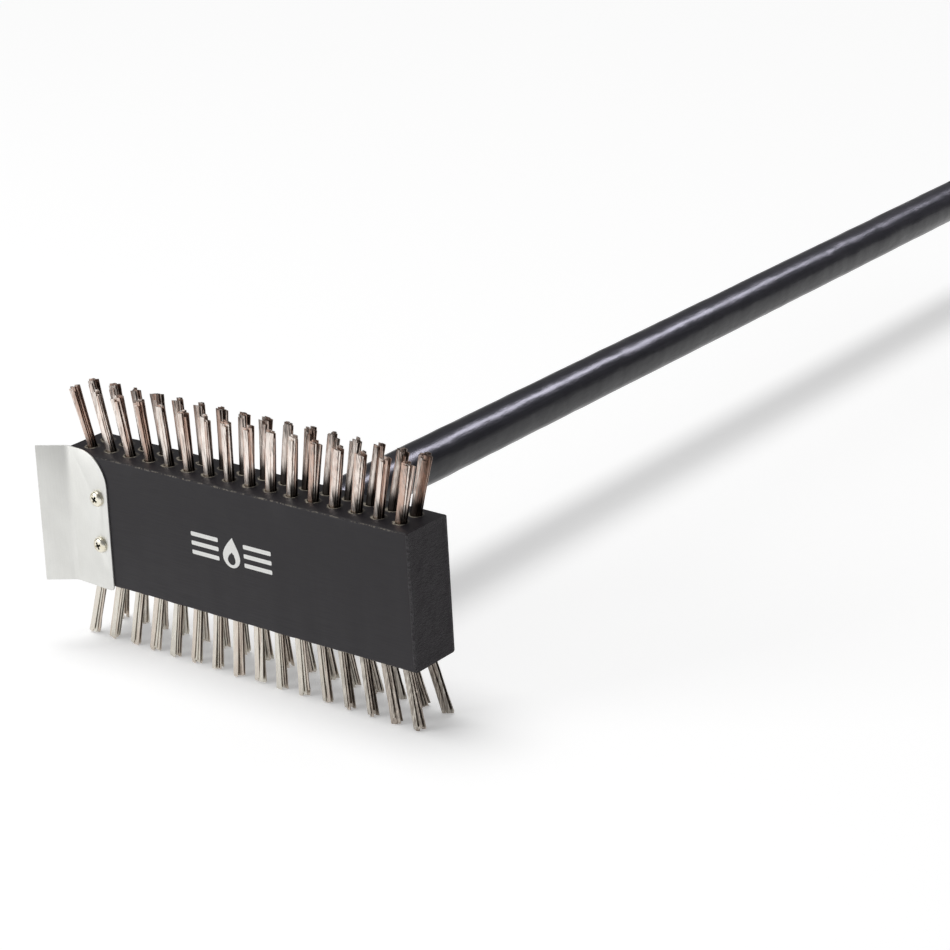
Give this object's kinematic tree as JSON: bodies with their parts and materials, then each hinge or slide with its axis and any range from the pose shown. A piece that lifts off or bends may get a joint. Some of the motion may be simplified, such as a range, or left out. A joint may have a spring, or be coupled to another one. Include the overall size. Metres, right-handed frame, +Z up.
{
  "type": "grill cleaning brush",
  "caption": "Long-handled grill cleaning brush: painted wooden block with steel wire tufts on its top and bottom edges, a bent scraper blade at one end and a round handle.",
  "frame": {"origin": "on the handle's axis, where the handle leaves the block's back face", "axes": "+Y along the handle away from the block, +X along the block towards its plain end, +Z up through the top tufts"},
  "size_m": [0.243, 0.7859, 0.1375],
  "materials": {
    "block_paint": "black painted wood, satin, thin and worn on the edges, open end grain",
    "handle_paint": "black lacquered wood, semi-gloss, slightly wavy coat",
    "blade_steel": "pale matte rolled stainless sheet",
    "wire_steel": "bright flat steel wire, cut ends darker",
    "screw_plating": "yellow zinc plating",
    "plain_steel": "plain drawn steel",
    "mark_print": null
  },
  "bodies": {
    "root": {"brush_block": "block_paint", "handle": "handle_paint", "handle_nail": "plain_steel", "scraper_blade": "blade_steel", "scraper_screws": "screw_plating", "tuft_anchors_top": "plain_steel", "tuft_anchors_bottom": "plain_steel", "tufts_top_01": "wire_steel", "tufts_top_02": "wire_steel", "tufts_top_03": "wire_steel", "tufts_top_04": "wire_steel", "tufts_top_05": "wire_steel", "tufts_top_06": "wire_steel", "tufts_top_07": "wire_steel", "tufts_top_08": "wire_steel", "tufts_top_09": "wire_steel", "tufts_top_10": "wire_steel", "tufts_top_11": "wire_steel", "tufts_top_12": "wire_steel", "tufts_top_13": "wire_steel", "tufts_top_14": "wire_steel", "tufts_top_15": "wire_steel", "tufts_top_16": "wire_steel", "tufts_bottom_01": "wire_steel", "tufts_bottom_02": "wire_steel", "tufts_bottom_03": "wire_steel", "tufts_bottom_04": "wire_steel", "tufts_bottom_05": "wire_steel", "tufts_bottom_06": "wire_steel", "tufts_bottom_07": "wire_steel", "tufts_bottom_08": "wire_steel", "tufts_bottom_09": "wire_steel", "tufts_bottom_10": "wire_steel", "tufts_bottom_11": "wire_steel", "tufts_bottom_12": "wire_steel", "tufts_bottom_13": "wire_steel", "tufts_bottom_14": "wire_steel", "tufts_bottom_15": "wire_steel", "tufts_bottom_16": "wire_steel"}
  },
  "joints": []
}
